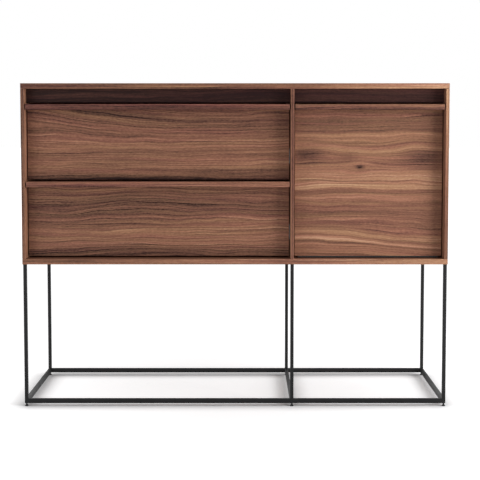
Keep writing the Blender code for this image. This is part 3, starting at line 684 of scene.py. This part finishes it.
def copied(piece: Piece, name: str, places: Iterable[Place]) -> Piece:
    """Copies a piece to several places and joins the copies, then removes the pattern.

    Args:
        piece: The pattern, which stands on the origin and faces up.
        name: What the joined copies are called.
        places: For each copy its place, the way it faces, and its turn about its axis in degrees.

    Returns:
        The joined copies, as one piece.
    """
    copies = []
    for place, facing, turn in places:
        only(piece)
        bpy.ops.object.duplicate(linked=False)
        copy = bpy.context.active_object
        copy.location = place
        twist = Euler((0.0, 0.0, math.radians(turn))).to_quaternion()
        copy.rotation_euler = (facing.to_track_quat("Z", "Y") @ twist).to_euler()
        settle(copy)
        copies.append(copy)
    bpy.data.objects.remove(piece)
    only(*copies)
    bpy.ops.object.join()
    copies[0].name = name
    return copies[0]


def hand_over(piece: Piece, finish: FineFinish, body: str) -> None:
    """Gives a new piece its finish and the body it rides on.

    Args:
        piece: The new piece.
        finish: Its finish.
        body: The frame's body that carries it.
    """
    dress([piece], finish)
    only(piece)
    bpy.ops.object.shade_smooth_by_angle(angle=SMOOTH_ANGLE)
    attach(piece, body)


class Head(Enum):
    """The rings of a screw's head as shares of its radius and height, from its seat up."""

    COUNTERSUNK = ((0.5, 0.0), (0.98, 0.86), (1.0, 1.0))
    PAN = ((1.0, 0.0), (1.0, 0.45), (0.92, 0.74), (0.70, 0.94), (0.45, 1.0))


@dataclass(frozen=True)
class Screw:
    """A cross-recess wood screw, drawn as its head and a short length of its shank, in metres.

    Its tip and the driver's blade are shares: the tip's of the shank's radius and reach, the blade's
    of the head's radius and height, and the blade's end of the blade.
    """

    head: Head
    radius: float
    height: float
    shank: float
    reach: float = 0.005
    tip: Pair = (0.4, 0.7)
    neck: float = 0.0001
    blade: Point = (0.62, 0.22, 0.75)
    blade_end: Point = (0.5, 0.7, 1.0)

    def drive(self, name: str, places: Iterable[Place], finish: FineFinish, body: str) -> None:
        """Drives a screw in at each place, where the top of its head lies, as one piece on a body."""
        hand_over(copied(self._build(), name, places), finish, body)

    def _build(self) -> Piece:
        """Turns the screw and cuts the cross in its head.

        Returns:
            The screw, with the top of its head on the origin and facing up.
        """
        narrow, tapered = self.tip
        seat = -self.height
        rings = [(self.shank * narrow, seat - self.reach), (self.shank, seat - tapered * self.reach),
                 (self.shank, seat - self.neck)]
        rings += [(max(self.radius * across, self.shank), self.height * (up - 1.0))
                  for across, up in self.head.value]
        screw = turned("screw", rings)
        for turn in (0.0, 90.0):
            combine(screw, self._driver_blade(turn), "DIFFERENCE")
        return screw

    def _driver_blade(self, turn: float) -> Piece:
        """Shapes one blade of the driver, narrower towards its end.

        Args:
            turn: Its turn about the screw's axis in degrees.

        Returns:
            The blade, to be cut out of the head.
        """
        length, width, depth = self.blade
        long, wide, deep = self.radius * length, self.radius * width / 2, depth * self.height
        blade = block("driver_blade", (-long, -wide, -deep), (long, wide, self.height))
        pick_edges(blade, lambda middle, along: middle.z < -deep / 2)
        bpy.ops.transform.resize(value=self.blade_end, center_override=(0.0, 0.0, -deep))
        bpy.ops.object.mode_set(mode="OBJECT")
        blade.rotation_euler = (0.0, 0.0, math.radians(turn))
        settle(blade)
        return blade


@dataclass(frozen=True)
class Case:
    """The walnut case: top, bottom, sides, divider, back and the board behind the finger recess."""

    boards: tuple[tuple[str, GrainLay, Figure], ...]

    def dress(self) -> None:
        """Veneers the case's boards."""
        for name, lay, figure in self.boards:
            dress_walnut(name, lay, figure, "walnut_case")


@dataclass(frozen=True)
class Drawer:
    """A wide drawer: a veneered front with its lip, a plywood box, and runners on both sides.

    The web is the sheet of a runner's member, and its screws stand at shares of its length.
    """

    level: str
    panel: Figure
    lip: Figure
    web: float = 0.0012
    screw_shares: tuple[float, ...] = (0.1167, 0.5, 0.8833)
    screw: Screw = Screw(Head.PAN, 0.0036, 0.0014, 0.0018)
    screw_turn: float = 20.0

    def dress(self) -> None:
        """Dresses the front, the box and the runners, and adds the runners' screws."""
        dress_walnut(f"{self.level}_drawer_front_panel", GrainLay.FACING, self.panel)
        dress_walnut(f"{self.level}_drawer_front_lip", GrainLay.FACING, self.lip)
        for part, lay in (("side_left", GrainLay.STANDING), ("side_right", GrainLay.STANDING),
                          ("back", GrainLay.FACING), ("bottom", GrainLay.FLAT)):
            name = f"{self.level}_drawer_{part}"
            dress([name], BirchPly(name, lay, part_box(name)[0]))
        runners = [f"{self.level}_runner_{side}_{member}" for side in SIDES
                   for member in ("cabinet", "middle", "drawer")]
        dress(runners, ZINC_PLATE)
        self._screws()

    def _screws(self) -> None:
        """Screws the drawer's runners to its sides."""
        places = []
        for side, inwards in SIDES.items():
            low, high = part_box(f"{self.level}_runner_{side}_drawer")
            web = (high.x if inwards > 0 else low.x) - inwards * self.web
            for share in self.screw_shares:
                spot = (web - inwards * self.screw.height, low.y + share * (high.y - low.y),
                        (low.z + high.z) / 2)
                places.append((spot, Vector((-inwards, 0.0, 0.0)), self.screw_turn))
        self.screw.drive(f"{self.level}_runner_screws", places, SCREW_STEEL, f"{self.level}_drawer")


@dataclass(frozen=True)
class DropFront:
    """The drop front with its lip, long hinge, slotted stays, magnetic catch and strike.

    The screws of the brackets stand one edge from the sides of their foot, and those of the strike
    and the catch one spread from the middle.
    """

    panel: Figure
    lip: Figure
    bracket_screw: Screw = Screw(Head.PAN, 0.0032, 0.0013, 0.0016)
    plate_screw: Screw = Screw(Head.COUNTERSUNK, 0.0024, 0.0010, 0.0012)
    bracket_edge: float = 0.0075
    bracket_sheet: float = 0.0015
    bracket_turn: float = 35.0
    strike_spread: float = 0.012
    strike_proud: float = 0.00002
    strike_turn: float = 15.0
    catch_spread: float = 0.013
    catch_turn: float = 40.0

    def dress(self) -> None:
        """Dresses the front and its fittings, and adds the fittings' screws."""
        dress_walnut("door_panel", GrainLay.FACING, self.panel)
        dress_walnut("door_lip", GrainLay.FACING, self.lip)
        stays = [f"stay_{part}_{side}" for part in ("arm", "stud", "bracket") for side in SIDES]
        dress(["hinge_case_leaf", "hinge_door_leaf"], BLACKENED_STEEL)
        dress(["catch_strike", *stays], ZINC_PLATE)
        dress(["magnet_catch"], MOULDED_NYLON)
        self._bracket_screws()
        self._catch_screws()

    def _bracket_screws(self) -> None:
        """Screws the stays' brackets to the back of the front."""
        places = []
        for side, inwards in SIDES.items():
            low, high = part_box(f"stay_bracket_{side}")
            x = (high.x if inwards > 0 else low.x) - inwards * self.bracket_edge
            y = low.y + self.bracket_sheet + self.bracket_screw.height
            places += [((x, y, z), BACKWARDS, self.bracket_turn)
                       for z in (low.z + self.bracket_edge, high.z - self.bracket_edge)]
        self.bracket_screw.drive("stay_bracket_screws", places, SCREW_STEEL, "drop_front")

    def _catch_screws(self) -> None:
        """Screws the strike to the back of the front, and the catch to the divider."""
        _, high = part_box("catch_strike")
        middle = middle_of("catch_strike")
        strike = [((middle.x, high.y + self.strike_proud, middle.z + side * self.strike_spread), BACKWARDS,
                   self.strike_turn) for side in (-1, 1)]
        self.plate_screw.drive("strike_screws", strike, SCREW_STEEL, "drop_front")
        _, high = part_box("magnet_catch")
        middle = middle_of("magnet_catch")
        catch = [((high.x, middle.y, middle.z + side * self.catch_spread), RIGHTWARDS, self.catch_turn)
                 for side in (-1, 1)]
        self.plate_screw.drive("catch_screws", catch, SCREW_STEEL, "cabinet")


@dataclass(frozen=True)
class Base:
    """The base of square steel bar, welded and coated in one piece, with its screws and levelling feet.

    The bars lie where the frame has them. Their corners are eased, and each leg ends in a square plate
    of sheet with holes on both sides of its middle, sunk for the screws' heads.
    """

    corner: float = 0.0008
    flat: float = math.radians(1.0)
    sharp: float = math.radians(40.0)
    plate: float = 0.050
    sheet: float = 0.003
    plate_corner: float = 0.006
    corner_steps: int = 6
    hole_reach: float = 0.016
    hole: float = 0.0022
    sink: float = 0.0042
    cut: float = 0.0005
    screw: Screw = Screw(Head.COUNTERSUNK, 0.0040, 0.0020, 0.0019)
    screw_turn: float = 30.0

    def build(self) -> None:
        """Makes the welded base in place of its bars, screws it to the case and dresses the feet."""
        corners = [f"{row}_{column}" for row in ROWS for column in COLUMNS]
        rails = [f"rail_{line}" for line in (*ROWS, *COLUMNS)]
        base = self._bars()
        combine(base, self._plates(), "UNION")
        base.name = "welded_base"
        hand_over(base, POWDER_COAT, "cabinet")
        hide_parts(*(f"leg_{corner}" for corner in corners), *rails)
        faces = [((x, y, self._top() + self.cut / 4), DOWN, self.screw_turn) for x, y in self._holes()]
        self.screw.drive("base_screws", faces, BLACK_SCREW, "cabinet")
        dress([f"foot_{corner}" for corner in corners], MOULDED_NYLON)

    def _top(self) -> float:
        """Finds the height of the plates' undersides."""
        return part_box("leg_front_left")[1].z - self.sheet

    def _bars(self) -> Piece:
        """Welds the legs and rails into one frame and eases its edges.

        Returns:
            The bars, as one piece.
        """
        low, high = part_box("rail_front")
        half = (high.y - low.y) / 2
        columns = [middle_of(f"rail_{column}").x for column in COLUMNS]
        front, back = (middle_of(f"rail_{row}").y for row in ROWS)
        leg_top = self._top() + self.sheet / 2
        lines = [(columns[0], y, columns[-1], y, high.z) for y in (front, back)]
        lines += [(x, front, x, back, high.z) for x in columns]
        lines += [(x, y, x, y, leg_top) for x, y, *_ in self._stands()]
        joined, *others = [block("bar", (x - half, y - half, low.z), (far_x + half, far_y + half, top))
                           for x, y, far_x, far_y, top in lines]
        for bar in others:
            combine(joined, bar, "UNION")
        bpy.ops.object.mode_set(mode="EDIT")
        bpy.ops.mesh.select_all(action="SELECT")
        bpy.ops.mesh.dissolve_limited(angle_limit=self.flat)
        bpy.ops.object.mode_set(mode="OBJECT")
        modifier = joined.modifiers.new("eased", "BEVEL")
        modifier.width = self.corner
        modifier.segments = 2
        modifier.limit_method = "ANGLE"
        modifier.angle_limit = self.sharp
        bpy.ops.object.modifier_apply(modifier=modifier.name)
        return joined

    def _stands(self) -> list[tuple[float, float, float, float]]:
        """Finds where the legs stand, and their plates, which reach inwards from them.

        Returns:
            For each leg its x and y, and those of its plate's middle.
        """
        half = self.plate / 2
        stands = []
        for column in COLUMNS:
            for row in ROWS:
                low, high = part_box(f"leg_{row}_{column}")
                stands.append((middle_of(f"rail_{column}").x, middle_of(f"rail_{row}").y,
                               low.x + half if low.x > 0 else high.x - half,
                               low.y + half if low.y > 0 else high.y - half))
        return stands

    def _holes(self) -> list[Pair]:
        """Finds the screw holes, which leave out the corner of a plate where its leg stands.

        Returns:
            The x and y of each hole.
        """
        low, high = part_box("rail_front")
        clear = (high.y - low.y) / 2 + self.sink
        ways = (-self.hole_reach, self.hole_reach)
        return [(x + along, y + across) for leg_x, leg_y, x, y in self._stands() for along in ways
                for across in ways if max(abs(x + along - leg_x), abs(y + across - leg_y)) > clear]

    def _plates(self) -> Piece:
        """Makes the plates on top of the legs, with round corners and countersunk holes.

        Returns:
            The plates, as one piece.
        """
        half = self.plate / 2
        plate = block("plate", (-half, -half, 0.0), (half, half, self.sheet))
        pick_edges(plate, lambda middle, along: abs(along.z) > abs(along.x + along.y))
        bpy.ops.mesh.bevel(offset=self.plate_corner, segments=self.corner_steps, affect="EDGES")
        bpy.ops.object.mode_set(mode="OBJECT")
        plates = copied(plate, "plates", [((x, y, self._top()), UP, 0.0) for *_, x, y in self._stands()])
        sink = turned("countersink", (
            (self.sink + self.cut, -self.cut), (self.hole, self.sink - self.hole),
            (self.hole, self.sheet + self.cut)))
        holes = [((x, y, self._top()), UP, 0.0) for x, y in self._holes()]
        combine(plates, copied(sink, "countersinks", holes), "DIFFERENCE")
        return plates


@dataclass(frozen=True)
class SoftBox:
    """A square soft box that faces the case: where it stands, how large it is and how strong it is.

    The bearing is in degrees, from straight ahead of the fronts towards +X, and the height in degrees
    above level. A strength of 1 lights a white card in the case's place, facing the lamp, to white.
    """

    name: str
    bearing: float
    height: float
    distance: float
    width: float
    strength: float
    target: Point = (0.0, -0.2, 0.7)

    def build(self) -> None:
        """Hangs the lamp and aims it at the middle of the case's front."""
        light = bpy.data.lights.new(self.name, "AREA")
        light.shape = "SQUARE"
        light.size = self.width
        light.energy = self.strength * (math.pi * self.distance) ** 2
        bearing, height = math.radians(self.bearing), math.radians(self.height)
        towards = Vector((math.sin(bearing) * math.cos(height), -math.cos(bearing) * math.cos(height),
                          math.sin(height)))
        lamp = bpy.data.objects.new(self.name, light)
        lamp.location = Vector(self.target) + towards * self.distance
        lamp.rotation_euler = towards.to_track_quat("Z", "Y").to_euler()
        bpy.context.scene.collection.objects.link(lamp)


@dataclass(frozen=True)
class Ceiling:
    """A wide, even light from above: its width in degrees, and its strength on a white floor."""

    width: float = 90.0
    strength: float = 0.17

    def build(self) -> None:
        """Hangs the light, a sun with a wide disc, straight above."""
        light = bpy.data.lights.new("ceiling_light", "SUN")
        light.energy = self.strength * math.pi
        light.angle = math.radians(self.width)
        bpy.context.scene.collection.objects.link(bpy.data.objects.new("ceiling_light", light))


@dataclass(frozen=True)
class Studio:
    """A pale floor, a soft box on each side, the nearer and stronger one on the right, and even fill.

    The floor also glows for the camera, more so further from a middle under the fronts, in metres, and
    less where something stands on it. This paints shadow: grey under the cabinet, dark by the bars, white
    around it.
    """

    lamps: tuple[SoftBox | Ceiling, ...] = (
        SoftBox("right_soft_box", 67.0, 6.0, 2.5, 1.5, 1.06),
        SoftBox("left_soft_box", -55.0, 3.0, 2.6, 1.6, 0.36), Ceiling())
    fill: float = 0.24
    floor_half: float = 30.0
    # The glow is weakest round this middle, which paints shade on the floor under the cabinet.
    painted_shade_middle: Pair = (0.25, -0.3)
    glow: Stops = ((0, 0.4), (0.3, 0.43), (0.75, 0.55), (1.1, 0.65), (3.6, 0.72), (8, 1))
    painted_contact_shadow_reach: float = 0.06
    painted_contact_shadow_power: float = 5.0

    def build(self) -> None:
        """Makes the world, the lamps and the floor, and shows colours plainly."""
        bpy.context.scene.view_settings.view_transform = "Standard"
        self._world()
        for lamp in self.lamps:
            lamp.build()
        self._floor()

    def _seen(self, graph: Graph) -> Node:
        """Tells rays that see the background from those that carry light.

        Args:
            graph: The graph to add to.

        Returns:
            1 for camera, glossy and transmission rays, else 0.
        """
        path = graph.add("LightPath")
        seen = graph.add("Math", (path.outputs["Is Camera Ray"], path.outputs["Is Glossy Ray"]), "MAXIMUM")
        return graph.add("Math", (seen, path.outputs["Is Transmission Ray"]), "MAXIMUM")

    def _world(self) -> None:
        """Makes a world that looks white and gives an even, dimmer fill."""
        world = bpy.data.worlds.new("studio_world")
        bpy.context.scene.world = world
        world.use_nodes = True
        graph = Graph(world.node_tree)
        fill, white = (graph.add("Background", {"Color": (1.0, 1.0, 1.0, 1.0), "Strength": strength})
                       for strength in (self.fill, 1.0))
        both = graph.add("MixShader", (self._seen(graph), fill, white))
        graph.add("OutputWorld", {"Surface": both})

    def _floor(self) -> None:
        """Lays the floor, which holds the object's shadow and is white elsewhere."""
        bpy.ops.mesh.primitive_plane_add(size=2 * self.floor_half)
        floor = bpy.context.active_object
        floor.name = "studio_floor"
        material, graph = new_material("pale_studio_paper")
        place = graph.add("TexCoord").outputs["Object"]
        fibres = graph.add("TexNoise", {"Vector": place, "Scale": 3.0, "Detail": 2.0})
        tone = graph.add("ValToRGB", (fibres,), stops=((0.3, linear("#ededee")), (0.7, linear("#eeeeef"))))
        paper = graph.add("BsdfDiffuse", {"Color": tone})
        both = graph.add("AddShader", (paper, self._glow_with_painted_shadow(graph, place)))
        graph.add("OutputMaterial", {"Surface": both})
        floor.data.materials.append(material)

    def _glow_with_painted_shadow(self, graph: Graph, place: bpy.types.NodeSocket) -> Node:
        """Adds the glow that hides the floor's end, and paints shade under the cabinet and contact shadows
        at the bars.

        Args:
            graph: The floor's graph.
            place: The place on the floor.

        Returns:
            The shader of the glow.
        """
        x, y = self.painted_shade_middle
        middle = graph.add("Mapping", {"Vector": place, "Location": (-x, -y, 0.0)})
        far = graph.add("VectorMath", (middle,), "LENGTH")
        reach = self.glow[-1][0]
        share = graph.add("Math", (far.outputs["Value"], reach), "DIVIDE")
        level = graph.add("ValToRGB", (share,), stops=shares_of(reach, self.glow))
        seen = graph.add("Math", (self._seen(graph), level), "MULTIPLY")
        # Painted contact shadow: the glow dims where ambient occlusion finds something near the floor.
        near = graph.add("AmbientOcclusion", {"Distance": self.painted_contact_shadow_reach}, samples=16)
        painted_contact_shade = graph.add("Math", (near.outputs["AO"], self.painted_contact_shadow_power), "POWER")
        strength = graph.add("Math", (painted_contact_shade, seen), "MULTIPLY")
        return graph.add("Emission", {"Color": (1.0, 1.0, 1.0, 1.0), "Strength": strength})


@dataclass(frozen=True)
class Viewpoint:
    """A long-lens camera at a standing person's chest, tipped slightly down and shifted to frame."""

    stand: Point = (0.0216, -3.3532, 0.858)
    lens: float = 79.66
    sensor: float = 36.0
    pitch: float = 3.5
    shift: Pair = (-0.0047, -0.1129)

    def build(self) -> None:
        """Makes the scene's camera."""
        camera = bpy.data.cameras.new("viewpoint")
        camera.lens = self.lens
        camera.sensor_width = self.sensor
        camera.shift_x, camera.shift_y = self.shift
        eye = bpy.data.objects.new("viewpoint", camera)
        eye.location = self.stand
        eye.rotation_euler = (math.radians(90.0 - self.pitch), 0.0, 0.0)
        bpy.context.scene.collection.objects.link(eye)
        bpy.context.scene.camera = eye


# The widths across the grain, in mm, that the bands of these boards are placed along.
RECESS_BOARD_WIDTH = 40.2
DRAWER_PANEL_WIDTH = 214.5
DOOR_PANEL_WIDTH = 445.0

CASE_BOARDS = (
    # The top panel's front edge grows paler towards the right: partly the walnut's own tone, partly painted
    # light from the right soft box.
    ("top_panel", GrainLay.FLAT, Figure(
        swells=(Spot(420, 190, 330, 90, 42),), seed=1.3,
        edge=((0, 0.29), (0.3, 0.3), (0.52, 0.26), (0.66, 0.32), (0.78, 0.58), (1, 0.8)))),
    ("bottom_panel", GrainLay.FLAT, Figure(
        edge=((0, 0.48), (0.15, 0.44), (0.5, 0.6), (0.6, 0.38), (0.68, 0.36), (0.8, 0.52), (1, 0.56)),
        seed=2.7)),
    # The left side panel is paler than the right one: painted light, for its inner face that the right soft
    # box lights.
    ("left_side_panel", GrainLay.STANDING, Figure(
        bands=((0, 0.6), (0.4, 0.66), (0.7, 0.58), (1, 0.64)), swells=(Spot(250, 210, 240, 80, 36),),
        edge=((0, 0.4), (0.5, 0.32), (1, 0.24)), seed=4.1)),
    ("right_side_panel", GrainLay.STANDING, Figure(
        swells=(Spot(300, 180, 260, 70, -30),), edge=((0, 0.36), (0.5, 0.46), (1, 0.78)), seed=5.9)),
    ("divider_panel", GrainLay.STANDING, Figure(edge=((0, 0.46), (1, 0.42)), seed=7.2)),
    ("back_panel", GrainLay.FACING, Figure(swells=(Spot(500, 260, 300, 90, 40),), seed=8.8)),
    # Recess board: very dark and darker towards the bottom, partly dark walnut and partly painted recess
    # shade; its paler right end is painted light.
    ("recess_board", GrainLay.FACING, Figure(
        bands=shares_of(RECESS_BOARD_WIDTH, ((0, 0), (12, 0.02), (40.2, 0.04))),
        drift=((0, 0), (0.62, 0), (0.66, 0.04), (1, 0.07)), redness=0.015, contrast=0.3, seed=9.4)),
)
UPPER_PANEL = Figure(
    bands=shares_of(DRAWER_PANEL_WIDTH, (
        (0, 0.2), (14, 0.32), (26, 0.4), (50, 0.47), (74, 0.44), (90, 0.47), (100, 0.48), (123, 0.52),
        (128, 0.36), (158, 0.29), (190, 0.25), (214.5, 0.32))),
    swells=(Spot(-40, 225, 260, 80, 48), Spot(560, 150, 160, 60, -10)),
    shades=(Spot(55, 180, 75, 22, 0.05),), drift=((0, -0.05), (0.5, -0.02), (1, 0.03)),
    meander=5, ring_depth=0.28, seed=3.7)
LOWER_PANEL = Figure(
    bands=shares_of(DRAWER_PANEL_WIDTH, (
        (0, 0.18), (10, 0.22), (25, 0.42), (37, 0.52), (60, 0.54), (80, 0.48), (90, 0.38), (127, 0.36),
        (137, 0.26), (154, 0.25), (160, 0.3), (185, 0.34), (214.5, 0.36))),
    swells=(Spot(316, 165, 150, 45, 20), Spot(420, 10, 260, 24, 12)),
    drift=((0, -0.05), (0.5, -0.01), (1, 0.04)), seed=13.8)
DOOR_PANEL = Figure(
    bands=shares_of(DOOR_PANEL_WIDTH, (
        (0, 0.4), (12, 0.44), (24, 0.64), (33, 0.46), (41, 0.64), (48, 0.38), (52, 0.42), (55, 0.94),
        (60, 0.66), (67, 0.46), (79, 0.72), (90, 0.42), (100, 0.39), (148, 0.38), (160, 0.44),
        (172, 0.62), (185, 0.44), (194, 0.36), (199, 0.5), (202, 0.86), (208, 0.7), (226, 0.64),
        (265, 0.55), (290, 0.48), (316, 0.52), (328, 0.68), (341, 0.5), (359, 0.5), (366, 0.7),
        (373, 0.37), (404, 0.35), (445, 0.4))),
    swells=(Spot(480, 30, 280, 75, -30), Spot(233, 322, 95, 34, -14), Spot(196, 285, 45, 14, 9),
            Spot(196, 255, 45, 14, -9)),
    shades=(Spot(196, 268, 12, 7, -0.5), Spot(196, 284, 34, 8, 0.14), Spot(40, 302, 50, 22, -0.34),
            Spot(160, 297, 30, 12, -0.18), Spot(390, 295, 70, 28, -0.32)),
    meander=6, ring=11, ring_depth=0.26, contrast=0.88, seed=17.1)
UPPER_LIP = Figure(bands=((0, 0.15), (0.6, 0.21), (1, 0.26)), drift=((0, -0.02), (1, 0.06)),
                   redness=0.015, ring=5, meander=2, seed=21.5)
LOWER_LIP = Figure(bands=((0, 0.33), (0.6, 0.41), (1, 0.45)), drift=((0, -0.02), (1, 0.04)),
                   redness=0.006, ring=5, meander=2, seed=23.9)
DOOR_LIP = Figure(bands=((0, 0.38), (0.6, 0.45), (1, 0.44)), drift=((0, -0.06), (1, 0.06)),
                  redness=0.006, ring=5, meander=5, seed=26.3)


def main() -> None:
    """Builds and dresses the cabinet, then lights and frames it."""
    logging.basicConfig(level=logging.INFO, format="%(name)s: %(message)s")
    Case(CASE_BOARDS).dress()
    Drawer("upper", UPPER_PANEL, UPPER_LIP).dress()
    Drawer("lower", LOWER_PANEL, LOWER_LIP).dress()
    DropFront(DOOR_PANEL, DOOR_LIP).dress()
    Base().build()
    Studio().build()
    Viewpoint().build()


if __name__ == "__main__":
    main()
